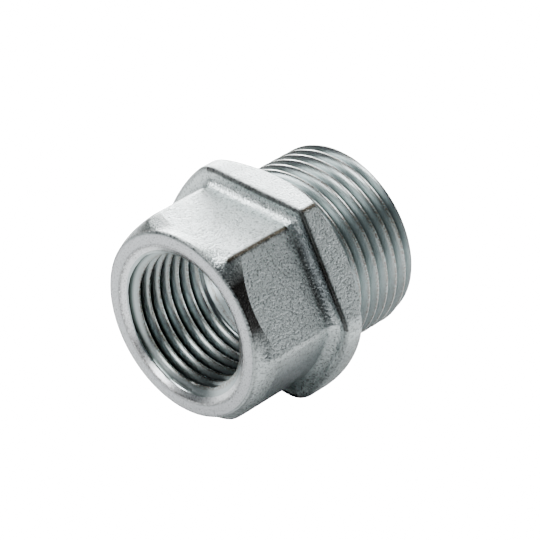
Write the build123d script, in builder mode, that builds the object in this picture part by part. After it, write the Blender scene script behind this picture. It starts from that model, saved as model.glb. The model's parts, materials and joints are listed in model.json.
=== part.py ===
"""Reducing nipple, female end to male end, as one cast and turned solid.

Millimetres. The flow axis is X and the origin is on it, halfway along the
fitting. The female end faces -X and the male end faces +X. Z is up, with the
fitting lying on one flat of its flange. Both threads stand here as plain
cylinders: the outside one at its crests, the inside one at its crests too.
"""

import os
from math import atan2, cos, hypot, radians, sin, sqrt, tan

from build123d import *

# Lengths along the flow axis.
overall_length = 32.0
lip_length = 0.4
nose_length = 2.8
barrel_length = 10.5
flange_length = 4.4

# Female end: face ring, countersink, thread and passage.
face_radius = 13.3
countersink_radius = 11.3
countersink_depth = 1.3
female_thread_radius = 9.3155
female_thread_length = 15.0
passage_radius = 9.0
passage_mouth_chamfer = 0.7

# Hexagonal barrel and the flange behind it.
barrel_across_flats = 25.5
barrel_corner_round = 0.8
nose_corner_share = 0.78
nose_flat_share = 0.5
flange_across_flats = 30.0
flange_crown = 1.45
flange_corner_round = 0.8
crowned_corner_round = 5.0
flange_edge_round = 0.4
root_round = 1.3
flange_back_radius = 14.9
flange_back_angle = 38.0

# Male end.
male_thread_radius = 13.2205
male_end_chamfer = 1.0

x_face = -overall_length / 2
x_nose = x_face + lip_length
x_barrel = x_nose + nose_length
x_flange = x_barrel + barrel_length
x_flange_back = x_flange + flange_length
x_end = x_face + overall_length
x_thread_start = x_face + countersink_depth
x_passage = x_thread_start + female_thread_length

SIDES = 6
HALF_SIDE = radians(180 / SIDES)
place_tolerance = 0.01


def across(x):
    """A sketch plane square to the flow axis: its first axis is Y, its second Z."""
    return Plane(origin=(x, 0, 0), x_dir=(0, 1, 0), z_dir=(1, 0, 0))


def spot(radius, angle):
    """A point on such a plane, with the angle taken from straight up."""
    return (radius * sin(angle), radius * cos(angle))


def nose_radii(corner_share, flat_share):
    """Radii of a nose section at the middle of a flat, at a corner's ends and at a corner."""
    half = barrel_across_flats / 2
    bend = half * tan(HALF_SIDE) - barrel_corner_round * tan(HALF_SIDE)
    corner = half / cos(HALF_SIDE) - barrel_corner_round * (1 / cos(HALF_SIDE) - 1)
    side = face_radius + flat_share * (half - face_radius)
    end = face_radius + corner_share * (sqrt(half**2 + bend**2) - face_radius)
    tip = face_radius + corner_share * (corner - face_radius)
    return side, end, tip, atan2(bend, half)


def nose_section(x, corner_share, flat_share):
    """One nose section: six sides and six corners, on the way from the round face to the hexagon."""
    side, end, tip, reach = nose_radii(corner_share, flat_share)
    edges = []
    for index in range(SIDES):
        middle = 2 * index * HALF_SIDE
        first = Vector(x, *spot(end, middle - reach))
        last = Vector(x, *spot(end, middle + reach))
        following = Vector(x, *spot(end, middle + 2 * HALF_SIDE - reach))
        if flat_share < 1:
            edges.append(Edge.make_three_point_arc(first, Vector(x, *spot(side, middle)), last))
        else:
            edges.append(Edge.make_line(first, last))
        peak = Vector(x, *spot(tip, middle + HALF_SIDE))
        edges.append(Edge.make_three_point_arc(last, peak, following))
    return Face(Wire(edges))


def flange_outline():
    """Four flats, and two crowned sides opposite each other where the mould parted."""
    half = flange_across_flats / 2
    corner = half / cos(HALF_SIDE)
    for index in range(SIDES):
        middle = 2 * index * HALF_SIDE
        first = spot(corner, middle - HALF_SIDE)
        last = spot(corner, middle + HALF_SIDE)
        if index % 3 == 1:
            ThreePointArc(first, spot(half + flange_crown, middle), last)
        else:
            Line(first, last)


# Outside of the nose: a rounded lip, then a blend from the round face to the hexagon.
with BuildPart() as nose:
    with BuildSketch(Plane.XY):
        with BuildLine():
            lip = face_radius - lip_length
            Line((x_face, 0), (x_face, lip))
            RadiusArc((x_face, lip), (x_nose, face_radius), lip_length)
            Line((x_nose, face_radius), (x_nose, 0))
            Line((x_nose, 0), (x_face, 0))
        make_face()
    revolve(axis=Axis.X)
with BuildPart() as blend:
    round_section = nose_section(x_nose, 0, 0)
    middle_section = nose_section((x_nose + x_barrel) / 2, nose_corner_share, nose_flat_share)
    hexagon_section = nose_section(x_barrel, 1, 1)
    loft(sections=[round_section, middle_section, hexagon_section])

# The flange, its back turned to a cone that leaves arcs on the flats.
with BuildPart() as flange:
    with BuildSketch(across(x_flange)) as outline:
        with BuildLine():
            flange_outline()
        make_face()
        plain_corners = outline.vertices().filter_by(lambda corner: corner.X * corner.Y < -place_tolerance)
        fillet(plain_corners, radius=flange_corner_round)
        still_sharp = flange_across_flats / 2 / cos(HALF_SIDE) - place_tolerance
        crowned_corners = outline.vertices().filter_by(lambda corner: hypot(corner.X, corner.Y) > still_sharp)
        fillet(crowned_corners, radius=crowned_corner_round)
    extrude(amount=flange_length)
    front = flange.faces().sort_by(Axis.X)[0]
    fillet(front.outer_wire().edges(), radius=flange_edge_round)
    cone_rise = flange_length / tan(radians(flange_back_angle))
    with BuildSketch(Plane.XY):
        with BuildLine():
            Polyline(
                (x_flange, 0),
                (x_flange, flange_back_radius + cone_rise),
                (x_flange_back, flange_back_radius),
                (x_flange_back, 0),
                (x_flange, 0),
            )
        make_face()
    revolve(axis=Axis.X, mode=Mode.INTERSECT)

with BuildPart() as reducing_nipple:
    extrude(hexagon_section, amount=barrel_length, dir=(1, 0, 0))
    add(flange.part)
    at_front = (x_flange - place_tolerance, x_flange + place_tolerance)
    step = reducing_nipple.faces().filter_by_position(Axis.X, *at_front)[0]
    fillet(step.inner_wires()[0].edges(), radius=root_round)
    add(nose.part)
    add(blend.part)

    # Male end, with its chamfer.
    with BuildSketch(Plane.XY):
        with BuildLine():
            Polyline(
                (x_flange, 0),
                (x_flange, male_thread_radius),
                (x_end - male_end_chamfer, male_thread_radius),
                (x_end, male_thread_radius - male_end_chamfer),
                (x_end, 0),
                (x_flange, 0),
            )
        make_face()
    revolve(axis=Axis.X)

    # The way through: countersink, thread, then the narrower passage and its chamfer.
    with BuildSketch(Plane.XY):
        with BuildLine():
            Polyline(
                (x_face, 0),
                (x_face, countersink_radius),
                (x_thread_start, female_thread_radius),
                (x_passage, female_thread_radius),
                (x_passage, passage_radius),
                (x_end - passage_mouth_chamfer, passage_radius),
                (x_end, passage_radius + passage_mouth_chamfer),
                (x_end, 0),
                (x_face, 0),
            )
        make_face()
    revolve(axis=Axis.X, mode=Mode.SUBTRACT)

reducing_nipple.part.label = "reducing_nipple"

os.makedirs("parts", exist_ok=True)
export_step(reducing_nipple.part, "parts/reducing_nipple.step")
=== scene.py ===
"""Visual model of a zinc-coated reducing nipple, laid out as an add-on.

The nipple is one closed skin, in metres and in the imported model's frame: the flow
axis is X, the female end faces -X and the fitting lies on one flat of its flange.
Angles go round the flow axis from +Y towards +Z, so the hexagon has a corner at zero.
"""

import json
from math import atan2, ceil, cos, hypot, pi, radians, sin, sqrt, tan

import bpy
import numpy as np
from bpy.props import FloatProperty, FloatVectorProperty, IntProperty, PointerProperty
from mathutils import Matrix, Vector


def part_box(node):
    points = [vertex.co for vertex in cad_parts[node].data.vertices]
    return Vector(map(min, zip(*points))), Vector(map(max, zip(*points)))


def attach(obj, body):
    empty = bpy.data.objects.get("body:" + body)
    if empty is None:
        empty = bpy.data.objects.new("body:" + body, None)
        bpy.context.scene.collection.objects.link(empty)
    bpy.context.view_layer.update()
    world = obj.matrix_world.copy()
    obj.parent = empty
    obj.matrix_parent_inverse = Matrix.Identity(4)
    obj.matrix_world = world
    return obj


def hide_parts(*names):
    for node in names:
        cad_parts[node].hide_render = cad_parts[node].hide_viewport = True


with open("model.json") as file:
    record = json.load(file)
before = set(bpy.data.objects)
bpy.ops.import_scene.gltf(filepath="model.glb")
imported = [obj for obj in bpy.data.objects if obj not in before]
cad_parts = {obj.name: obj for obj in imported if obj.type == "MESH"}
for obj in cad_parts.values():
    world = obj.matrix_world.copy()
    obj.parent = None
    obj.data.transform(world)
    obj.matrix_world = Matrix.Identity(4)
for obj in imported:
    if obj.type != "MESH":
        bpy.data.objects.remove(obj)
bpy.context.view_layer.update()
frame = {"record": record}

bl_info = {
    "name": "Reducing Nipple",
    "version": (1, 0, 0),
    "blender": (4, 5, 0),
    "location": "View3D > Sidebar > Nipple",
    "description": "Builds a zinc-coated hexagon reducing nipple with real threads",
    "category": "Add Mesh",
}

NODE = "reducing_nipple"
MM = 0.001
SIXTH = pi / 3

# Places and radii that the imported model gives: both ends, and the crests and reach of both threads.
LOW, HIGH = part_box(NODE)
X_FACE, X_END = LOW[0], HIGH[0]
MOUNTS = {mount["name"]: mount for mount in frame["record"]["mounts"]}
FEMALE, MALE = MOUNTS["female_thread"], MOUNTS["male_thread"]
FEMALE_CREST = FEMALE["dims"]["r_mm"] * MM
FEMALE_FROM = FEMALE["pos_m"][0]
FEMALE_TO = FEMALE_FROM + FEMALE["dims"]["length_mm"] * MM
MALE_CREST = MALE["dims"]["r_mm"] * MM
MALE_FROM = MALE["pos_m"][0]


def length(name, description, default):
    """A length in metres with its label, for a size that a user may change."""
    return FloatProperty(
        name=name, description=description, default=default, unit="LENGTH", subtype="DISTANCE", precision=5
    )


def degrees(name, description, default):
    """An angle with its label, given in degrees."""
    return FloatProperty(name=name, description=description, default=radians(default), unit="ROTATION")


def tint(name, description, default):
    """A colour with its label."""
    return FloatVectorProperty(
        name=name, description=description, default=default, subtype="COLOR", size=3, min=0, max=1
    )


class NippleSizes(bpy.types.PropertyGroup):
    """Sizes of the cast body and of the turned ends."""

    face_radius: length("Face Radius", "Outer radius of the female end", 13.3 * MM)
    face_round: length("Face Rounding", "Rounding at the rim of the female end", 0.4 * MM)
    mouth_radius: length("Mouth Radius", "Radius of the countersink at the face", 11.3 * MM)
    mouth_round: length("Mouth Rounding", "Rounding at the edge of the countersink", 0.12 * MM)
    nose_on_flats: length("Nose on Flats", "Length of the nose blend at the middle of a flat", 1.7 * MM)
    nose_on_corners: length("Nose on Corners", "Length of the nose blend at a corner", 3.3 * MM)
    barrel_width: length("Barrel Across Flats", "Width of the hexagon barrel", 25.5 * MM)
    barrel_round: length("Barrel Corner Rounding", "Rounding of the barrel's corners", 0.8 * MM)
    barrel_crown: length("Barrel Crown", "Rise of the barrel's two sides where the mould parted", 1.2 * MM)
    root_round: length("Root Fillet", "Fillet between barrel and flange", 1.3 * MM)
    flange_front: length("Flange Front", "Place of the flange's front along the flow axis", -2.3 * MM)
    flange_width: length("Flange Across Flats", "Width of the flange over its flats", HIGH[2] - LOW[2])
    flange_crown: length("Flange Crown", "Rise of the two sides where the mould parted", 1.45 * MM)
    flange_corner_round: length("Flange Corner Rounding", "Rounding of the two sharp corners", 0.8 * MM)
    crowned_corner_round: length("Crowned Corner Rounding", "Corners at the ends of a crowned side", 5.0 * MM)
    flange_round: length("Flange Edge Rounding", "Rounding of the flange's front edge", 0.4 * MM)
    crowned_edge_round: length("Crowned Edge Rounding", "Front edge halfway along a crowned side", 1.0 * MM)
    back_radius: length("Shoulder Radius", "Outer radius of the flange's turned back", 14.9 * MM)
    back_angle: degrees("Shoulder Angle", "Slope of the flange's turned back", 38)
    passage_radius: length("Passage Radius", "Radius of the way through past the thread", 9.0 * MM)
    passage_chamfer: length("Passage Chamfer", "Chamfer at the male end of the passage", 0.7 * MM)
    columns: IntProperty(name="Columns", description="Divisions round the flow axis", default=240, min=48)


class ThreadSizes(bpy.types.PropertyGroup):
    """Sizes of the two pipe threads, which share one pitch."""

    pitch: length("Pitch", "Distance between turns, 14 to the inch", 25.4 / 14 * MM)
    depth: length("Depth", "Depth of the grooves", 1.162 * MM)
    male_crest_at: length("Male Crest", "Place of an outside crest at angle zero", 9.05 * MM)
    female_crest_at: length("Female Crest", "Place of an inside crest at angle zero", -8.69 * MM)
    male_start: length("Male Start", "Where the outside grooves begin", 3.4 * MM)
    male_lead: length("Male Lead-in", "Length of the chamfer at the male end", 1.0 * MM)
    female_stop: length("Female Stop", "Where the inside grooves end", -2.4 * MM)
    run_out: length("Run-out", "Length over which the grooves fade", 0.9 * MM)
    male_spare: length("Male Spare", "How far the outside lead-in goes below the grooves", 0.04 * MM)
    female_spare: length("Female Spare", "How far the countersink's join lies outside the grooves", 0.02 * MM)
    rows: IntProperty(name="Rows per Turn", description="Divisions along one pitch", default=16, min=8)


class ZincFinish(bpy.types.PropertyGroup):
    """Colours of the zinc coat, and of the shade painted on it."""

    cast: tint("Cast Zinc", "Coat on the sand-cast surfaces", (0.59, 0.645, 0.645))
    turned: tint("Turned Zinc", "Coat on the turned faces", (0.80, 0.82, 0.835))
    thread: tint("Thread Zinc", "Coat on the cut threads", (0.46, 0.52, 0.525))
    pit: tint("Pits", "Coat in the pits of the casting skin", (0.13, 0.15, 0.15))
    # Colour of painted shade at the bottoms of the grooves.
    painted_groove_shade: tint("Valleys", "Dark bottoms of the grooves", (0.025, 0.04, 0.035))
    torn: tint("Torn Crests", "Coat on the rough crests of the threads", (0.27, 0.255, 0.23))
    worn: tint("Worn Edges", "Brown of worn edges and of speckles", (0.06, 0.052, 0.038))
    # One dark colour both for the dirty pits, rim and mouth, and for painted shade on the nose and in the
    # creases.
    dirt_and_shade: tint("Dirt", "Dark dirt in pits and along creases", (0.02, 0.019, 0.018))
    # Colour of painted shade on a stretch of the barrel, a stretch of the flange's front and the face ring.
    shaded: tint("Shaded Zinc", "Coat that has gone dull", (0.13, 0.15, 0.17))


class WearPlaces(bpy.types.PropertyGroup):
    """Where the coat is worn or dirty and where shade is painted: headings round the flow axis, from +Y
    towards +Z.
    """

    worn_corner: degrees("Worn Corner", "Corner whose edge is worn most", 120)
    rim_dirt: degrees("Rim Dirt", "Thickest dirt on the female end's rim", 100)
    # The two headings below place painted shade along the flange's front edge and between barrel and flange.
    front_shade: degrees("Flange Edge Shade", "Thickest dirt along the flange's front edge", 150)
    trough_shade: degrees("Trough Shade", "Middle of the dirt between barrel and flange", 151)
    # The two headings below place painted shade on the nose blend.
    near_shading: degrees("Near Shading", "Middle of the thick grime on the nose", 146)
    far_shading: degrees("Far Shading", "Middle of the thin grime on the nose", 64)
    # The two headings below place painted shade on the barrel and on the flange's front.
    shaded_barrel: degrees("Shaded Barrel", "Middle of the dull stretch of the barrel", 212)
    shaded_front: degrees("Shaded Front", "Middle of the dull stretch of the flange's front", 146)


class StudioSettings(bpy.types.PropertyGroup):
    """Camera, and the glow of the floor."""

    azimuth: degrees("Azimuth", "Camera heading from +Y towards +X", 47.283)
    elevation: degrees("Elevation", "Camera height above the horizon", 32.648)
    roll: degrees("Roll", "Camera roll", 0.311)
    distance: length("Distance", "Camera distance to the aim", 371.4 * MM)
    aim: FloatVectorProperty(
        name="Aim",
        description="Point the camera looks at",
        default=(0.926 * MM, -0.219 * MM, 0.830 * MM),
        subtype="XYZ",
        unit="LENGTH",
        size=3,
    )
    lens: FloatProperty(name="Lens", description="Focal length in millimetres", default=185.08, min=10)
    floor_white: FloatProperty(
        name="Floor White", description="Glow of the floor in the picture", default=20.0, min=0
    )


# Outlines round the flow axis.
def column_angles(count, crowding):
    """Angles of the columns; crowding, from zero to one, gathers them at the hexagon's corners."""
    most = 0.75
    even = 2 * pi * np.arange(count) / count
    corner = np.round(even / SIXTH) * SIXTH
    share = (even - corner) / (SIXTH / 2)
    loose = 1 - most * crowding
    return corner + SIXTH / 2 * (loose * share + (1 - loose) * share**3)


def from_corner(angle):
    """Angle from the nearest corner of the hexagon, negative before it."""
    return angle - np.round(angle / SIXTH) * SIXTH


def hexagon_radius(angle, half, rounding):
    """Radius of a hexagon of that half width, with rounded corners."""
    off = np.abs(from_corner(angle))
    beside = SIXTH / 2 - off
    flat = half / np.cos(beside)
    centre = (half - rounding) / cos(SIXTH / 2)
    reach = np.arctan2((half - rounding) * tan(SIXTH / 2), half)
    inside = np.clip(rounding**2 - (centre * np.sin(off)) ** 2, 0, None)
    corner = centre * np.cos(off) + np.sqrt(inside)
    return np.where(beside > reach, corner, flat)


def on_crown(angle):
    """True on the two sides where the mould parted."""
    return np.mod(np.floor(angle / SIXTH), 3) == 0


def crown_share(angle):
    """One in the middle of the two sides where the mould parted, falling to zero at their corners."""
    share = from_corner(angle + SIXTH / 2) / (SIXTH / 2)
    return np.where(on_crown(angle), 1 - share**2, 0)


def barrel_radius(angle, sizes, grow=0):
    """Radius of the barrel, or of an outline that lies that far outside it."""
    half = sizes.barrel_width / 2 + grow
    return hexagon_radius(angle, half, sizes.barrel_round + grow) + sizes.barrel_crown * crown_share(angle)


def cornered(angle, sizes):
    """How far the barrel stands out over the middle of a flat: one at a corner."""
    half = sizes.barrel_width / 2
    rise = (half - sizes.barrel_round) * (1 / cos(SIXTH / 2) - 1)
    return (barrel_radius(angle, sizes) - half) / rise


def nose_crease(angle, sizes):
    """Where the nose blend ends on the barrel."""
    longer = sizes.nose_on_corners - sizes.nose_on_flats
    return X_FACE + sizes.face_round + sizes.nose_on_flats + longer * cornered(angle, sizes)


def root_start(sizes):
    """Where the fillet between barrel and flange begins."""
    return sizes.flange_front - sizes.root_round


def circle_reach(angle, centre, radius):
    """Distance from the axis to a circle whose centre lies that far out at angle zero."""
    return centre * np.cos(angle) + np.sqrt(np.clip(radius**2 - (centre * np.sin(angle)) ** 2, 0, None))


def flange_radius(angle, sizes):
    """Radius of the flange: four flats, and two crowned sides opposite each other.

    The corners at the ends of the crowned sides have a larger rounding than the other two.
    """
    half = sizes.flange_width / 2
    easing = sizes.crowned_corner_round
    half_chord = half * tan(SIXTH / 2)
    crown_centre = ((half + sizes.flange_crown) ** 2 - half**2 - half_chord**2) / (2 * sizes.flange_crown)
    crown_radius = half + sizes.flange_crown - crown_centre
    crowned = circle_reach(from_corner(angle + SIXTH / 2), crown_centre, crown_radius)
    radius = np.where(on_crown(angle), crowned, hexagon_radius(angle, half, sizes.flange_corner_round))

    # The larger rounding, measured out from the flat beside it and then along that flat.
    arc_out, arc_along = crown_centre * cos(SIXTH), crown_centre * sin(SIXTH)
    out = half - easing
    along = arc_along + sqrt((crown_radius - easing) ** 2 - (out - arc_out) ** 2)
    grow = crown_radius / (crown_radius - easing)
    flat_end = atan2(along, half) - SIXTH / 2
    arc_end = atan2(arc_along + grow * (along - arc_along), arc_out + grow * (out - arc_out)) - SIXTH / 2
    corner = np.mod(np.round(angle / SIXTH), 3)
    towards_crown = np.where(corner == 1, -from_corner(angle), from_corner(angle))
    eased = circle_reach(towards_crown - atan2(along, out) + SIXTH / 2, hypot(along, out), easing)
    in_easing = (corner < 2) & (towards_crown > flat_end) & (towards_crown < arc_end)
    return np.where(in_easing, eased, radius)


# Meshes made of rings.
def ring(x, radius, angle):
    """One closed ring of points; x and radius may differ from column to column."""
    x = np.broadcast_to(x, angle.shape)
    radius = np.broadcast_to(radius, angle.shape)
    return np.stack([x, radius * np.cos(angle), radius * np.sin(angle)], axis=1)


def steps(count):
    """That many even steps, the first just past zero and the last at one."""
    return np.linspace(0, 1, count + 1)[1:]


def shell(name, rings, material):
    """An open tube through the rings, in order, linked to the scene."""
    count = len(rings[0])
    points = np.concatenate(rings)
    faces = []
    for row in range(len(rings) - 1):
        for column in range(count):
            after = (column + 1) % count
            low, high = row * count, (row + 1) * count
            faces.append((low + column, low + after, high + after, high + column))
    mesh = bpy.data.meshes.new(name)
    mesh.from_pydata(points.tolist(), [], faces)
    mesh.materials.append(material)
    bpy.context.collection.objects.link(bpy.data.objects.new(name, mesh))


def nose_rings(sizes, angle):
    """Rounded rim, then the nose: it fills out faster towards the corners than on the flats."""
    x_nose = X_FACE + sizes.face_round
    centre = sizes.face_radius - sizes.face_round
    rings = []
    for share in np.linspace(0, 1, 6):
        bend = share * pi / 2
        x = x_nose - sizes.face_round * cos(bend)
        rings.append(ring(x, centre + sizes.face_round * sin(bend), angle))
    crease = nose_crease(angle, sizes)
    hexagon = barrel_radius(angle, sizes)
    fullness = 1 + 2 * cornered(angle, sizes)
    for share in (*np.linspace(0, 0.9, 11)[1:], 0.96, 1):
        full = 1 - (1 - share) ** fullness
        radius = sizes.face_radius + full * (hexagon - sizes.face_radius)
        rings.append(ring(x_nose + share * (crease - x_nose), radius, angle))
    return rings


def barrel_rings(sizes, angle):
    """The hexagon barrel, close rings at both ends, then the fillet at its root."""
    x_root = root_start(sizes)
    crease = nose_crease(angle, sizes)
    hexagon = barrel_radius(angle, sizes)
    rings = []
    for share in (0.01, 0.04, *np.linspace(0.12, 0.88, 7), 0.96, 0.99, 1):
        rings.append(ring(crease + share * (x_root - crease), hexagon, angle))
    for share in steps(8):
        bend = share * pi / 2
        grow = sizes.root_round * (1 - cos(bend))
        rings.append(ring(x_root + sizes.root_round * sin(bend), barrel_radius(angle, sizes, grow), angle))
    return rings


def flange_rings(sizes, angle):
    """The flange: front, rounded edge, side, and the cone that its back is turned to."""
    root = barrel_radius(angle, sizes, sizes.root_round)
    flange = flange_radius(angle, sizes)
    easing = sizes.flange_round + (sizes.crowned_edge_round - sizes.flange_round) * crown_share(angle)
    edge = flange - easing
    x_side = sizes.flange_front + easing
    x_turned = MALE_FROM - (flange - sizes.back_radius) * tan(sizes.back_angle)
    rings = []
    for share in steps(4):
        rings.append(ring(sizes.flange_front, root + share * (edge - root), angle))
    for share in steps(7):
        bend = share * pi / 2
        rings.append(ring(sizes.flange_front + easing * (1 - cos(bend)), edge + easing * sin(bend), angle))
    for share in steps(6):
        rings.append(ring(x_side + share * (x_turned - x_side), flange, angle))
    for share in steps(4):
        radius = flange + share * (sizes.back_radius - flange)
        rings.append(ring(x_turned + share * (MALE_FROM - x_turned), radius, angle))
    return rings


def cast_rings(sizes):
    """Rings from the female rim over nose, barrel and flange to the turned shoulder."""
    angle = column_angles(sizes.columns, 1)
    return nose_rings(sizes, angle) + barrel_rings(sizes, angle) + flange_rings(sizes, angle)


def shoulder_rings(sizes):
    """The turned back of the flange, down to the male end."""
    rings = []
    for share in np.linspace(0, 1, 6):
        angle = column_angles(sizes.columns, 1 - share)
        rings.append(ring(MALE_FROM, sizes.back_radius + share * (MALE_CREST - sizes.back_radius), angle))
    return rings


def mouth_slope(sizes):
    """Slope of the countersink: its radius shrinks from the face to the thread's crests."""
    return (FEMALE_CREST - sizes.mouth_radius) / (FEMALE_FROM - X_FACE)


def mouth_end(sizes, threads):
    """Where the countersink reaches the bottoms of the inside grooves, with a little to spare."""
    deepest = FEMALE_CREST + threads.depth + threads.female_spare
    return X_FACE + (deepest - sizes.mouth_radius) / mouth_slope(sizes)


def face_rings(sizes, threads):
    """Face ring, mouth edge and countersink, as far as the deepest groove reaches."""
    slope = mouth_slope(sizes)
    x_meet = mouth_end(sizes, threads)
    rim = sizes.face_radius - sizes.face_round
    edge = sizes.mouth_radius + sizes.mouth_round
    rings = []
    for share in np.linspace(0, 1, 6):
        angle = column_angles(sizes.columns, 1 - share)
        rings.append(ring(X_FACE, rim + share * (edge - rim), angle))
    angle = column_angles(sizes.columns, 0)
    bend_length = 0.8 * sizes.mouth_round
    for share in steps(4):
        along = bend_length * share**2
        radius = sizes.mouth_radius + slope * along + sizes.mouth_round * (1 - share) ** 2
        rings.append(ring(X_FACE + along, radius, angle))
    for share in steps(4):
        x = X_FACE + bend_length + share * (x_meet - X_FACE - bend_length)
        rings.append(ring(x, sizes.mouth_radius + slope * (x - X_FACE), angle))
    return rings


def male_rim(threads):
    """Radius of the male end's rim, a little below the grooves."""
    return MALE_CREST - threads.depth - threads.male_spare


def passage_rings(sizes, threads):
    """From the female thread's end through the passage to the rim of the male end."""
    angle = column_angles(sizes.columns, 0)
    chamfer = sizes.passage_chamfer
    profile = [(FEMALE_TO, FEMALE_CREST), (FEMALE_TO, sizes.passage_radius)]
    for share in steps(8):
        profile.append((FEMALE_TO + share * (X_END - chamfer - FEMALE_TO), sizes.passage_radius))
    for share in (0.5, 1):
        profile.append((X_END - chamfer * (1 - share), sizes.passage_radius + chamfer * share))
    mouth = sizes.passage_radius + chamfer
    for share in steps(4):
        profile.append((X_END, mouth + share * (male_rim(threads) - mouth)))
    return [ring(x, radius, angle) for x, radius in profile]


# Makers of nodes, then the Geometry Nodes tree of one pipe thread.
def node_maker(tree):
    """Functions that add a node, fill a socket, or add a sum, in one tree."""

    def add(kind, **settings):
        node = tree.nodes.new(kind)
        for key, value in settings.items():
            setattr(node, key, value)
        return node

    def put(socket, value):
        if isinstance(value, bpy.types.NodeSocket):
            tree.links.new(value, socket)
        else:
            socket.default_value = value

    def sums(operation, *values, clamp=False):
        node = add("ShaderNodeMath", operation=operation, use_clamp=clamp)
        for socket, value in zip(node.inputs, values):
            put(socket, value)
        return node.outputs[0]

    return add, put, sums


THREAD_COUNTS = ("Columns", "Rows", "Rows per Turn")
THREAD_SIZES = (
    "Side",
    "First Crest",
    "Pitch",
    "Depth",
    "Crest Radius",
    "Start",
    "End",
    "Grooves From",
    "Grooves To",
    "Run-out",
    "Cone Place",
    "Cone Radius",
    "Cone Slope",
)


def helix_grid(given, add, put, sums):
    """A flat grid, with each point's place along the flow axis and its share of a turn.

    Rows follow the helix. A row that comes close to either end ring is laid on it, which avoids slivers.
    """
    grid = add("GeometryNodeMeshGrid")
    put(grid.inputs["Size X"], given["Columns"])
    put(grid.inputs["Size Y"], given["Rows"])
    put(grid.inputs["Vertices X"], sums("ADD", given["Columns"], 1.0))
    put(grid.inputs["Vertices Y"], sums("ADD", given["Rows"], 1.0))
    place = add("ShaderNodeSeparateXYZ")
    put(place.inputs[0], add("GeometryNodeInputPosition").outputs[0])
    column = sums("ROUND", sums("MULTIPLY_ADD", given["Columns"], 0.5, place.outputs["X"]))
    row = sums("ROUND", sums("MULTIPLY_ADD", given["Rows"], 0.5, place.outputs["Y"]))
    turn = sums("DIVIDE", column, given["Columns"])
    turns = sums("SUBTRACT", sums("ADD", sums("DIVIDE", row, given["Rows per Turn"]), turn), 1.0)
    x = sums("MULTIPLY_ADD", turns, given["Pitch"], given["First Crest"])

    close = 0.45
    snap = sums("MULTIPLY", sums("DIVIDE", given["Pitch"], given["Rows per Turn"]), close)
    before = sums("LESS_THAN", x, sums("ADD", given["Start"], snap))
    after = sums("GREATER_THAN", x, sums("SUBTRACT", given["End"], snap))
    for choice, limit in ((before, given["Start"]), (after, given["End"])):
        pick = add("GeometryNodeSwitch", input_type="FLOAT")
        put(pick.inputs["Switch"], choice)
        put(pick.inputs["False"], x)
        put(pick.inputs["True"], limit)
        x = pick.outputs[0]
    return grid.outputs["Mesh"], x, turn


def groove_profile(given, x, turn, sums):
    """Depth of a 55 degree V as a share of the full depth, between rounded crests and roots."""
    overshoot, crest_rounding, root_rounding = 0.25, 0.16, 0.2
    since = sums("SUBTRACT", x, given["First Crest"])
    phase = sums("FRACT", sums("SUBTRACT", sums("DIVIDE", since, given["Pitch"]), turn))
    slant = sums("ABSOLUTE", sums("MULTIPLY_ADD", phase, 2.0, -1.0))
    vee = sums("MULTIPLY_ADD", sums("SUBTRACT", 1.0, slant), 1 + 2 * overshoot, -overshoot)
    return sums("SMOOTH_MIN", sums("SMOOTH_MAX", vee, 0.0, crest_rounding), 1.0, root_rounding)


def run_outs(given, x, add, put, sums):
    """One along the thread, fading to zero at both ends of the grooves."""
    ramps = []
    for start, sign in ((given["Grooves From"], 1.0), (given["Grooves To"], -1.0)):
        fade = add("ShaderNodeMapRange", interpolation_type="SMOOTHSTEP")
        put(fade.inputs["Value"], sums("MULTIPLY", sums("SUBTRACT", x, start), sign))
        put(fade.inputs["From Min"], 0.0)
        put(fade.inputs["From Max"], given["Run-out"])
        ramps.append(fade.outputs[0])
    return sums("MULTIPLY", *ramps)


def wrapped(given, x, turn, groove, add, put, sums):
    """Each point's place on the thread, cut by the lead-in cone: outwards in a bore, inwards on a spigot."""
    cut = sums("MULTIPLY", given["Side"], given["Depth"])
    threaded = sums("MULTIPLY_ADD", groove, cut, given["Crest Radius"])
    past = sums("SUBTRACT", x, given["Cone Place"])
    cone = sums("MULTIPLY_ADD", past, given["Cone Slope"], given["Cone Radius"])
    larger = sums("MAXIMUM", sums("MULTIPLY", threaded, given["Side"]), sums("MULTIPLY", cone, given["Side"]))
    radius = sums("MULTIPLY", larger, given["Side"])
    angle = sums("MULTIPLY", turn, 2 * pi)
    point = add("ShaderNodeCombineXYZ")
    put(point.inputs["X"], x)
    put(point.inputs["Y"], sums("MULTIPLY", radius, sums("COSINE", angle)))
    put(point.inputs["Z"], sums("MULTIPLY", radius, sums("SINE", angle)))
    return point.outputs[0]


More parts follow.
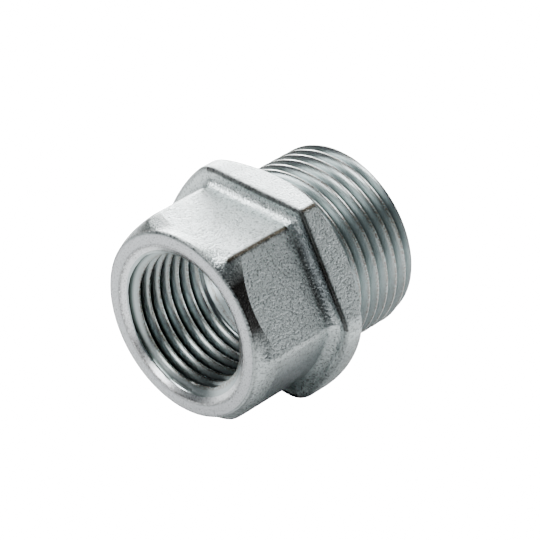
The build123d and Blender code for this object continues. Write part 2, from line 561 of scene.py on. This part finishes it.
def thread_tree():
    """A right-hand pipe thread: a grid whose rows follow the helix, wrapped round the flow axis.

    Side is 1 for grooves that go outwards, in a bore, and -1 for grooves in a spigot.
    """
    tree = bpy.data.node_groups.new("pipe thread", "GeometryNodeTree")
    tree.interface.new_socket("Geometry", in_out="OUTPUT", socket_type="NodeSocketGeometry")
    for name in THREAD_COUNTS:
        tree.interface.new_socket(name, in_out="INPUT", socket_type="NodeSocketInt")
    for name in THREAD_SIZES:
        tree.interface.new_socket(name, in_out="INPUT", socket_type="NodeSocketFloat")
    tree.interface.new_socket("Material", in_out="INPUT", socket_type="NodeSocketMaterial")
    add, put, sums = node_maker(tree)
    given = add("NodeGroupInput").outputs
    grid, x, turn = helix_grid(given, add, put, sums)
    share = groove_profile(given, x, turn, sums)
    groove = sums("MULTIPLY", share, run_outs(given, x, add, put, sums))

    # The crest mask is full on the crests and has faded out a fifth of the way down the flanks.
    start, fall, seam = 1.3, 6.0, 0.002 * MM
    mark = add("GeometryNodeStoreNamedAttribute", data_type="FLOAT", domain="POINT")
    put(mark.inputs["Geometry"], grid)
    put(mark.inputs["Name"], "crest")
    put(mark.inputs["Value"], sums("SUBTRACT", start, sums("MULTIPLY", share, fall), clamp=True))
    wrap = add("GeometryNodeSetPosition")
    put(wrap.inputs["Geometry"], mark.outputs["Geometry"])
    put(wrap.inputs["Position"], wrapped(given, x, turn, groove, add, put, sums))
    weld = add("GeometryNodeMergeByDistance")
    put(weld.inputs["Geometry"], wrap.outputs["Geometry"])
    put(weld.inputs["Distance"], seam)
    realize = add("GeometryNodeRealizeInstances")
    put(realize.inputs["Geometry"], weld.outputs["Geometry"])
    coat = add("GeometryNodeSetMaterial")
    put(coat.inputs["Geometry"], realize.outputs["Geometry"])
    put(coat.inputs["Material"], given["Material"])
    put(add("NodeGroupOutput").inputs["Geometry"], coat.outputs["Geometry"])
    return tree


def grown(name, tree, values):
    """Links a plain mesh object made by the tree with these named inputs."""
    maker = bpy.data.objects.new(name, bpy.data.meshes.new(name))
    bpy.context.collection.objects.link(maker)
    modifier = maker.modifiers.new("growth", "NODES")
    modifier.node_group = tree
    for item in tree.interface.items_tree:
        if item.in_out == "INPUT":
            modifier[item.identifier] = values[item.name]
    view = bpy.context.evaluated_depsgraph_get()
    mesh = bpy.data.meshes.new_from_object(maker.evaluated_get(view))
    maker.modifiers.clear()
    maker.data = mesh
    mesh.name = name


def thread_values(sizes, threads, material, crest_at, spans):
    """Input values of one thread; spans holds what differs between the two."""
    first = spans["Start"] - (spans["Start"] - crest_at) % threads.pitch
    turns = (spans["End"] - first) / threads.pitch + 1
    return {
        "Columns": sizes.columns,
        "Rows": ceil(turns * threads.rows),
        "Rows per Turn": threads.rows,
        "First Crest": first,
        "Pitch": threads.pitch,
        "Depth": threads.depth,
        "Run-out": threads.run_out,
        "Material": material,
        **spans,
    }


def male_values(sizes, threads, material):
    """Inputs of the outside thread: its lead-in ends just below the grooves."""
    spans = {
        "Crest Radius": MALE_CREST,
        "Side": -1.0,
        "Start": MALE_FROM,
        "End": X_END,
        "Grooves From": threads.male_start,
        "Grooves To": X_END + threads.run_out,
        "Cone Place": X_END,
        "Cone Radius": male_rim(threads),
        "Cone Slope": (male_rim(threads) - MALE_CREST) / threads.male_lead,
    }
    return thread_values(sizes, threads, material, threads.male_crest_at, spans)


def female_values(sizes, threads, material):
    """Inputs of the inside thread, which starts on the countersink."""
    x_meet = mouth_end(sizes, threads)
    spans = {
        "Crest Radius": FEMALE_CREST,
        "Side": 1.0,
        "Start": x_meet,
        "End": FEMALE_TO,
        "Grooves From": x_meet - threads.run_out,
        "Grooves To": threads.female_stop,
        "Cone Place": X_FACE,
        "Cone Radius": sizes.mouth_radius,
        "Cone Slope": mouth_slope(sizes),
    }
    return thread_values(sizes, threads, material, threads.female_crest_at, spans)


# Shader node groups that more than one finish uses, and then the finishes.
def shader_group(name, inputs, outputs):
    """An empty shader group with its sockets, and its makers."""
    tree = bpy.data.node_groups.new(name, "ShaderNodeTree")
    for socket, kind, default in inputs:
        made = tree.interface.new_socket(socket, in_out="INPUT", socket_type=kind)
        made.default_value = default
    for socket, kind in outputs:
        tree.interface.new_socket(socket, in_out="OUTPUT", socket_type=kind)
    add, put, sums = node_maker(tree)
    return tree, add, put, sums, add("NodeGroupInput").outputs, add("NodeGroupOutput").inputs


def noise(add, put, scale, detail, roughness=0.5):
    """Smooth noise over the piece's own coordinates."""
    node = add("ShaderNodeTexNoise", noise_dimensions="3D")
    put(node.inputs["Vector"], add("ShaderNodeTexCoord").outputs["Object"])
    put(node.inputs["Scale"], scale)
    put(node.inputs["Detail"], detail)
    put(node.inputs["Roughness"], roughness)
    return node.outputs[0]


def grain_group():
    """Casting skin: a height for bump, and masks of fine speckles and of the pits between grains."""
    inputs = [("Grain Size", "NodeSocketFloat", 0.3 * MM), ("Swell Size", "NodeSocketFloat", 2.5 * MM)]
    outputs = [("Height", "NodeSocketFloat"), ("Speckle", "NodeSocketFloat"), ("Pits", "NodeSocketFloat")]
    tree, add, put, sums, given, gives = shader_group("casting skin", inputs, outputs)
    grain = noise(add, put, sums("DIVIDE", 1.0, given["Grain Size"]), detail=2.0, roughness=0.55)
    swell = noise(add, put, sums("DIVIDE", 1.0, given["Swell Size"]), detail=1.0)
    dots = noise(add, put, sums("DIVIDE", 1.4, given["Grain Size"]), detail=1.0)
    swell_share, pit_level, pit_contrast, dot_level, dot_contrast = 0.8, 0.5, 6.0, 0.62, 9.0
    put(gives["Height"], sums("MULTIPLY_ADD", swell, swell_share, grain))
    put(gives["Pits"], sums("MULTIPLY", sums("SUBTRACT", pit_level, grain), pit_contrast, clamp=True))
    put(gives["Speckle"], sums("MULTIPLY", sums("SUBTRACT", dots, dot_level), dot_contrast, clamp=True))
    return tree


def wear_group():
    """A broken mask: a smooth amount, eaten into by noise."""
    inputs = [
        ("Amount", "NodeSocketFloat", 0.0),
        ("Patch Size", "NodeSocketFloat", 0.5 * MM),
        ("Cover", "NodeSocketFloat", 0.5),
    ]
    tree, add, put, sums, given, gives = shader_group("wear", inputs, [("Mask", "NodeSocketFloat")])
    patches = noise(add, put, sums("DIVIDE", 1.0, given["Patch Size"]), detail=3.0, roughness=0.7)
    contrast = 7.0
    level = sums("ADD", patches, sums("SUBTRACT", given["Cover"], 1.0))
    sharp = sums("MULTIPLY", level, contrast, clamp=True)
    put(gives["Mask"], sums("MULTIPLY", given["Amount"], sharp, clamp=True))
    return tree


def placed(add, put, tree, **values):
    """Outputs of a group with its own values; an underscore in a name stands for a space."""
    node = add("ShaderNodeGroup", node_tree=tree)
    for key, value in values.items():
        put(node.inputs[key.replace("_", " ")], value)
    return node.outputs


def new_finish(name, metallic, roughness):
    """Starts a material: its Principled shader, and the makers for its nodes."""
    material = bpy.data.materials.new(name)
    material.use_nodes = True
    shader = material.node_tree.nodes["Principled BSDF"]
    shader.inputs["Metallic"].default_value = metallic
    shader.inputs["Roughness"].default_value = roughness
    return shader, node_maker(material.node_tree)


def mixed(add, put, factor, first, second):
    """Two colours mixed by a mask."""
    node = add("ShaderNodeMix", data_type="RGBA")
    put(node.inputs["Factor"], factor)
    put(node.inputs["A"], first)
    put(node.inputs["B"], second)
    return node.outputs["Result"]


def painted(add, name):
    """The value of a mask stored on the mesh."""
    return add("ShaderNodeAttribute", attribute_name=name).outputs["Fac"]


def opaque(colour):
    """A colour with full alpha."""
    return (*colour, 1.0)


def roughened(add, put, shader, height, strength, distance):
    """Bump on the shader, from a height over the surface."""
    bump = add("ShaderNodeBump")
    put(bump.inputs["Strength"], strength)
    put(bump.inputs["Distance"], distance)
    put(bump.inputs["Height"], height)
    put(shader.inputs["Normal"], bump.outputs[0])


def eaten(add, put, groups, name, patch_size, cover):
    """A mask stored on the mesh, broken up by wear."""
    amount = painted(add, name)
    return placed(add, put, groups["wear"], Amount=amount, Patch_Size=patch_size, Cover=cover)["Mask"]


def cast_zinc(finish, groups):
    """Zinc over a sand-cast skin: pitted, brown where edges are worn, dirty round the rim and mouth, with
    painted shade in its creases, on the nose and on stretches of barrel and flange.
    """
    shader, (add, put, sums) = new_finish("cast zinc", metallic=1.0, roughness=0.275)
    skin = placed(add, put, groups["grain"])
    pitted = sums("MULTIPLY", skin["Pits"], 0.72)
    speckled = sums("MULTIPLY", skin["Speckle"], 0.45)
    wear = eaten(add, put, groups, "edge", patch_size=0.3 * MM, cover=0.72)
    # Painted shade on the nose blend, in the dark colour.
    shading = eaten(add, put, groups, "nose", patch_size=0.3 * MM, cover=0.8)
    # The crease mask marks dirty rim and mouth edges, and painted shade along the flange's front edge and
    # between barrel and flange.
    crease = eaten(add, put, groups, "crease", patch_size=0.3 * MM, cover=0.95)
    # Painted shade on stretches of barrel and flange.
    colour = mixed(add, put, painted(add, "shaded"), opaque(finish.cast), opaque(finish.shaded))
    colour = mixed(add, put, pitted, colour, opaque(finish.pit))
    colour = mixed(add, put, speckled, colour, opaque(finish.worn))
    colour = mixed(add, put, wear, colour, opaque(finish.worn))
    colour = mixed(add, put, shading, colour, opaque(finish.dirt_and_shade))
    colour = mixed(add, put, crease, colour, opaque(finish.dirt_and_shade))
    put(shader.inputs["Base Color"], colour)
    roughened(add, put, shader, skin["Height"], strength=1.0, distance=0.135 * MM)


def turned_zinc(finish, groups):
    """Zinc over a turned face, with pits, a dirty rim and painted shade on the face ring."""
    shader, (add, put, sums) = new_finish("turned zinc", metallic=1.0, roughness=0.275)
    skin = placed(add, put, groups["grain"], Grain_Size=0.25 * MM, Swell_Size=1.5 * MM)
    pitted = sums("MULTIPLY_ADD", skin["Speckle"], 0.6, sums("MULTIPLY", skin["Pits"], 0.35))
    crease = eaten(add, put, groups, "crease", patch_size=0.2 * MM, cover=0.62)
    # Painted shade on the face ring.
    colour = mixed(add, put, painted(add, "shaded"), opaque(finish.turned), opaque(finish.shaded))
    colour = mixed(add, put, pitted, colour, opaque(finish.dirt_and_shade))
    colour = mixed(add, put, crease, colour, opaque(finish.dirt_and_shade))
    put(shader.inputs["Base Color"], colour)
    roughened(add, put, shader, skin["Height"], strength=0.3, distance=0.03 * MM)


def thread_zinc(finish, groups):
    """Zinc over cut threads: bright flanks, torn crests and painted shade in the roots."""
    shader, (add, put, _) = new_finish("thread zinc", metallic=1.0, roughness=0.28)
    skin = placed(add, put, groups["grain"], Grain_Size=0.25 * MM, Swell_Size=1.2 * MM)
    crest = eaten(add, put, groups, "crest", patch_size=0.25 * MM, cover=0.6)
    colour = mixed(add, put, crest, opaque(finish.thread), opaque(finish.torn))
    # Painted shade in the grooves.
    colour = mixed(add, put, painted(add, "painted_groove_shade"), colour, opaque(finish.painted_groove_shade))
    put(shader.inputs["Base Color"], colour)
    roughened(add, put, shader, skin["Height"], strength=0.25, distance=0.02 * MM)


def finishes():
    """The three finishes, made once."""
    if "cast zinc" not in bpy.data.materials:
        groups = {"grain": grain_group(), "wear": wear_group()}
        finish = bpy.context.scene.zinc_finish
        cast_zinc(finish, groups)
        turned_zinc(finish, groups)
        thread_zinc(finish, groups)
    return [bpy.data.materials[name] for name in ("cast zinc", "turned zinc", "thread zinc")]


# Masks of wear, dirty places and painted shade, stored on the mesh.
def nearness(distance, reach, gain=1):
    """One on a line, falling to zero at its reach; a gain above one widens the full part."""
    return np.clip(gain * (1 - np.abs(distance) / reach), 0, 1)


def about(angle, middle, spread, gain=1):
    """One at a heading round the flow axis, falling to zero at its spread, in degrees, on either side."""
    away = np.mod(angle - middle + pi, 2 * pi) - pi
    return nearness(away, radians(spread), gain)


def worn_edges(x, radius, angle, sizes, places):
    """Wear on the corners of barrel and flange, most of it on one of them."""
    half_width, elsewhere = 0.5 * MM, 0.2
    on_barrel = (x > X_FACE + 1.3 * MM) & (x < root_start(sizes))
    on_side = (x > sizes.flange_front + 0.1 * MM) & (x < MALE_FROM)
    on_side &= radius > sizes.barrel_width / 2 + sizes.root_round
    share = np.where(about(angle, places.worn_corner, spread=20) > 0, 1, elsewhere)
    off_corner = np.abs(from_corner(angle)) * radius
    return nearness(off_corner, half_width, gain=1.5) * (on_barrel | on_side) * share


def rim_dirt_and_crease_shade(x, radius, angle, sizes, places):
    """Dirt round the face and at the mouth, and painted shade between barrel and flange and along the
    flange's front edge.
    """
    rim_reach, mouth_reach, front_reach, trough_reach = 0.6 * MM, 0.4 * MM, 0.55 * MM, 0.6 * MM
    rim = nearness(np.hypot(x - X_FACE, radius - sizes.face_radius), rim_reach)
    rim *= 0.35 + 0.65 * about(angle, places.rim_dirt, spread=90)
    mouth = 0.8 * nearness(np.hypot(x - X_FACE, radius - sizes.mouth_radius), mouth_reach)

    # Painted shade along the flange's front edge.
    line = flange_radius(angle, sizes) - 0.3 * MM
    front = nearness(np.hypot(x - sizes.flange_front, radius - line), front_reach, gain=2)
    on_flats = 0.85 + 0.15 * about(angle, places.front_shade, spread=30)
    front *= np.where(crown_share(angle) > 0, 0.3, on_flats)

    # Painted shade in the trough between barrel and flange.
    middle = root_start(sizes) + 0.3 * MM
    trough = nearness(x - middle, trough_reach)
    trough *= np.minimum(about(angle, places.trough_shade, spread=30, gain=2), 0.8)
    trough *= radius < sizes.barrel_width / 2 / cos(SIXTH / 2) + 0.5 * MM
    return np.maximum.reduce([rim, mouth, front, trough])


def nose_shading(x, radius, angle, sizes, places):
    """Painted shade on the nose blend: thick in one place, thinner in another, and a trace all round."""
    on_nose = (x > X_FACE + 0.5 * sizes.face_round) & (x < nose_crease(angle, sizes) - 0.01 * MM)
    on_nose &= radius > sizes.barrel_width / 2 - 0.1 * MM
    thick = about(angle, places.near_shading, spread=30, gain=1.8)
    thin = 0.6 * about(angle, places.far_shading, spread=16, gain=1.8)
    trace = np.full_like(angle, 0.08)
    return on_nose * np.maximum.reduce([thick, thin, trace])


def shaded_places(x, radius, angle, sizes, places):
    """Painted shade: darker zinc on a stretch of the barrel, a stretch of the flange's front, and the face
    ring.
    """
    cast = (x > nose_crease(angle, sizes)) & (x < sizes.flange_front + 0.02 * MM)
    on_barrel = x < sizes.flange_front - 0.9 * sizes.root_round
    on_front = x > sizes.flange_front - 0.5 * sizes.root_round
    barrel = 0.6 * about(angle, places.shaded_barrel, spread=30, gain=2) * on_barrel
    front = 0.7 * about(angle, places.shaded_front, spread=34, gain=2) * on_front
    on_ring = (x < X_FACE + 0.05 * MM) & (radius > sizes.mouth_radius + sizes.mouth_round / 2)
    return np.where(on_ring, 0.45, cast * np.maximum(barrel, front))


def near_bottom(depth, threads):
    """One near the bottom of a groove, zero from halfway up."""
    return np.clip((depth / threads.depth - 0.5) / 0.35, 0, 1)


def groove_shade(x, radius, sizes, threads):
    """Shade in the grooves: nearly black at the bottoms inside, a little darker at those outside."""
    countersink = sizes.mouth_radius + mouth_slope(sizes) * (x - X_FACE)
    in_bore = (x > FEMALE_FROM - 0.5 * MM) & (x < FEMALE_TO) & (radius > countersink + 0.05 * MM)
    in_bore &= radius < FEMALE_CREST + threads.depth + 0.1 * MM
    on_spigot = (x > threads.male_start) & (x < X_END - threads.male_lead)
    on_spigot &= radius > sizes.passage_radius + 1.0 * MM
    inside = (0.25 + 0.7 * near_bottom(radius - FEMALE_CREST, threads)) * in_bore
    outside = 0.4 * near_bottom(MALE_CREST - radius, threads) * on_spigot
    return np.maximum(inside, outside)


def paint_masks(mesh, sizes, threads, places):
    """Stores where the coat is worn or dirty, where shade is painted, and how dark the grooves are painted.
    """
    points = np.empty(len(mesh.vertices) * 3)
    mesh.vertices.foreach_get("co", points)
    x, y, z = points.reshape(-1, 3).T
    radius = np.hypot(y, z)
    angle = np.arctan2(z, y)
    masks = {
        "edge": worn_edges(x, radius, angle, sizes, places),
        # Dirty rim and mouth edges, and painted shade along the flange's front and in the trough.
        "crease": rim_dirt_and_crease_shade(x, radius, angle, sizes, places),
        # Painted shade on the nose blend.
        "nose": nose_shading(x, radius, angle, sizes, places),
        # Painted shade in the grooves.
        "painted_groove_shade": groove_shade(x, radius, sizes, threads),
        # Painted shade on barrel, flange front and face ring.
        "shaded": shaded_places(x, radius, angle, sizes, places),
    }
    for name, values in masks.items():
        layer = mesh.attributes.new(name, "FLOAT", "POINT")
        layer.data.foreach_set("value", values)


def joined(pieces, name):
    """One closed skin from open pieces that share their end rings, sharp where it bends strongly."""
    weld, sharp_from = 0.004 * MM, radians(42)
    bpy.ops.object.select_all(action="DESELECT")
    for piece in pieces:
        piece.select_set(True)
    bpy.context.view_layer.objects.active = pieces[0]
    bpy.ops.object.join()
    skin = pieces[0]
    skin.name = name
    skin.data.name = name
    bpy.ops.object.mode_set(mode="EDIT")
    bpy.ops.mesh.select_all(action="SELECT")
    bpy.ops.mesh.remove_doubles(threshold=weld)
    bpy.ops.mesh.normals_make_consistent(inside=False)
    bpy.ops.object.mode_set(mode="OBJECT")
    skin.data.shade_smooth()
    skin.data.set_sharp_from_angle(angle=sharp_from)
    return skin


def open_edges(mesh):
    """Edges that don't join exactly two faces."""
    used = np.zeros(len(mesh.edges), dtype=int)
    loops = np.empty(len(mesh.loops), dtype=int)
    mesh.loops.foreach_get("edge_index", loops)
    np.add.at(used, loops, 1)
    return np.nonzero(used != 2)[0]


# The steps that make the fitting.
class NIPPLE_OT_cast_body(bpy.types.Operator):
    """Make the cast nose, barrel and flange"""

    bl_idname = "nipple.cast_body"
    bl_label = "Cast Body"

    def execute(self, context):
        sizes = context.scene.nipple_sizes
        shell("cast_body", cast_rings(sizes), finishes()[0])
        return {"FINISHED"}


class NIPPLE_OT_turned_faces(bpy.types.Operator):
    """Make the turned face, countersink, shoulder, passage and male end"""

    bl_idname = "nipple.turned_faces"
    bl_label = "Turned Faces"

    def execute(self, context):
        sizes = context.scene.nipple_sizes
        threads = context.scene.nipple_threads
        turned = finishes()[1]
        shell("face", face_rings(sizes, threads), turned)
        shell("shoulder", shoulder_rings(sizes), turned)
        shell("passage", passage_rings(sizes, threads), turned)
        return {"FINISHED"}


class NIPPLE_OT_threads(bpy.types.Operator):
    """Cut both pipe threads with one Geometry Nodes tree"""

    bl_idname = "nipple.threads"
    bl_label = "Threads"

    def execute(self, context):
        sizes = context.scene.nipple_sizes
        threads = context.scene.nipple_threads
        coat = finishes()[2]
        tree = thread_tree()
        grown("male_thread", tree, male_values(sizes, threads, coat))
        grown("female_thread", tree, female_values(sizes, threads, coat))
        return {"FINISHED"}


class NIPPLE_OT_join_skin(bpy.types.Operator):
    """Join the surfaces into the one closed fitting that stands for the CAD node"""

    bl_idname = "nipple.join_skin"
    bl_label = "Join Skin"

    def execute(self, context):
        scene = context.scene
        names = ("cast_body", "face", "shoulder", "passage", "male_thread", "female_thread")
        skin = joined([bpy.data.objects[name] for name in names], "nipple_skin")
        unclosed = len(open_edges(skin.data))
        if unclosed:
            raise RuntimeError(f"the skin has {unclosed} open edges")
        paint_masks(skin.data, scene.nipple_sizes, scene.nipple_threads, scene.wear_places)
        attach(skin, "root")
        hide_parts(NODE)
        return {"FINISHED"}


# The studio.
def studio_floor(settings, level):
    """A wide white floor under the fitting."""
    reach = 4.0
    mesh = bpy.data.meshes.new("studio_floor")
    corners = [(-reach, -reach, level), (reach, -reach, level), (reach, reach, level), (-reach, reach, level)]
    mesh.from_pydata(corners, [], [(0, 1, 2, 3)])
    shader, (add, put, sums) = new_finish("studio white", metallic=0.0, roughness=0.9)
    paint, glow = (0.9, 0.9, 0.9), (1.0, 1.0, 1.0)
    put(shader.inputs["Base Color"], opaque(paint))
    put(shader.inputs["Emission Color"], opaque(glow))
    seen = add("ShaderNodeLightPath").outputs["Is Camera Ray"]
    put(shader.inputs["Emission Strength"], sums("MULTIPLY", seen, settings.floor_white))
    mesh.materials.append(bpy.data.materials["studio white"])
    floor = bpy.data.objects.new("studio_floor", mesh)
    bpy.context.collection.objects.link(floor)


def softbox(name, direction, distance, width, height, radiance):
    """A white rectangle of light that faces the fitting."""
    light = bpy.data.lights.new(name, "AREA")
    light.shape = "RECTANGLE"
    light.size = width
    light.size_y = height
    light.energy = radiance * pi * width * height
    holder = bpy.data.objects.new(name, light)
    towards = Vector(direction).normalized()
    holder.location = towards * distance
    holder.rotation_mode = "QUATERNION"
    holder.rotation_quaternion = towards.to_track_quat("Z", "Y")
    bpy.context.collection.objects.link(holder)


def studio_lights():
    """Large boxes above and behind, smaller ones at the sides, and a dim room."""
    softbox("key_box", (-0.12, 0.52, 0.85), distance=1.2, width=0.75, height=0.5, radiance=18.0)
    softbox("back_box", (0.64, 0.57, 0.53), distance=1.4, width=0.7, height=0.42, radiance=5.0)
    softbox("backdrop", (0.78, 0.60, 0.15), distance=1.4, width=1.3, height=0.36, radiance=26.0)
    softbox("top_box", (0.60, -0.20, 0.77), distance=1.2, width=0.5, height=0.3, radiance=10.0)
    softbox("left_box", (-0.90, 0.18, 0.39), distance=1.2, width=0.3, height=0.3, radiance=14.0)
    softbox("right_box", (0.62, -0.75, 0.24), distance=1.4, width=0.9, height=0.4, radiance=0.85)
    studio_room()


def studio_room():
    """A dim room: nearly dark at the horizon, grey overhead."""
    world = bpy.data.worlds.new("studio")
    world.use_nodes = True
    add, put, sums = node_maker(world.node_tree)
    place = add("ShaderNodeSeparateXYZ")
    put(place.inputs[0], add("ShaderNodeTexCoord").outputs["Generated"])
    height = sums("POWER", sums("MAXIMUM", place.outputs["Z"], 0.0), 3.0)
    horizon, overhead = (0.02, 0.032, 0.035), (0.45, 0.48, 0.5)
    colour = mixed(add, put, height, opaque(horizon), opaque(overhead))
    put(world.node_tree.nodes["Background"].inputs["Color"], colour)
    bpy.context.scene.world = world


def studio_camera(settings):
    """The photograph's camera."""
    azimuth, elevation = settings.azimuth, settings.elevation
    heading = Vector((sin(azimuth) * cos(elevation), cos(azimuth) * cos(elevation), -sin(elevation)))
    right = heading.cross(Vector((0, 0, 1))).normalized()
    up = right.cross(heading)
    turned_right = right * cos(settings.roll) + up * sin(settings.roll)
    turned_up = up * cos(settings.roll) - right * sin(settings.roll)
    camera = bpy.data.objects.new("camera", bpy.data.cameras.new("camera"))
    camera.data.lens = settings.lens
    camera.data.sensor_width = 36
    camera.data.clip_start = 0.01
    place = Matrix.Translation(Vector(settings.aim) - heading * settings.distance)
    facing = Matrix((turned_right, turned_up, -heading)).transposed().to_4x4()
    camera.matrix_world = place @ facing
    bpy.context.collection.objects.link(camera)
    bpy.context.scene.camera = camera


class NIPPLE_OT_stage(bpy.types.Operator):
    """Lay the floor, hang the lights and place the camera"""

    bl_idname = "nipple.stage"
    bl_label = "Stage"

    def execute(self, context):
        settings = context.scene.nipple_studio
        studio_floor(settings, LOW[2])
        studio_lights()
        studio_camera(settings)
        return {"FINISHED"}


class NIPPLE_PT_panel(bpy.types.Panel):
    """Sidebar panel with the fitting's sizes and steps"""

    bl_label = "Reducing Nipple"
    bl_idname = "NIPPLE_PT_panel"
    bl_space_type = "VIEW_3D"
    bl_region_type = "UI"
    bl_category = "Nipple"

    def draw(self, context):
        layout = self.layout
        for step in STEPS:
            layout.operator(step.bl_idname)
        for name in SETTINGS:
            group = getattr(context.scene, name)
            box = layout.box()
            for prop in group.bl_rna.properties:
                if prop.identifier not in {"rna_type", "name"}:
                    box.prop(group, prop.identifier)


STEPS = (
    NIPPLE_OT_cast_body,
    NIPPLE_OT_turned_faces,
    NIPPLE_OT_threads,
    NIPPLE_OT_join_skin,
    NIPPLE_OT_stage,
)
SETTINGS = {
    "nipple_sizes": NippleSizes,
    "nipple_threads": ThreadSizes,
    "zinc_finish": ZincFinish,
    "wear_places": WearPlaces,
    "nipple_studio": StudioSettings,
}


def register():
    """Registers the settings, the steps and the panel."""
    for name, group in SETTINGS.items():
        bpy.utils.register_class(group)
        setattr(bpy.types.Scene, name, PointerProperty(type=group))
    for step in (*STEPS, NIPPLE_PT_panel):
        bpy.utils.register_class(step)


def unregister():
    """Takes everything out again."""
    for step in reversed((*STEPS, NIPPLE_PT_panel)):
        bpy.utils.unregister_class(step)
    for name, group in SETTINGS.items():
        delattr(bpy.types.Scene, name)
        bpy.utils.unregister_class(group)


def main():
    """Builds the fitting and its stage."""
    register()
    bpy.ops.nipple.cast_body()
    bpy.ops.nipple.turned_faces()
    bpy.ops.nipple.threads()
    bpy.ops.nipple.join_skin()
    bpy.ops.nipple.stage()


if __name__ == "__main__":
    main()
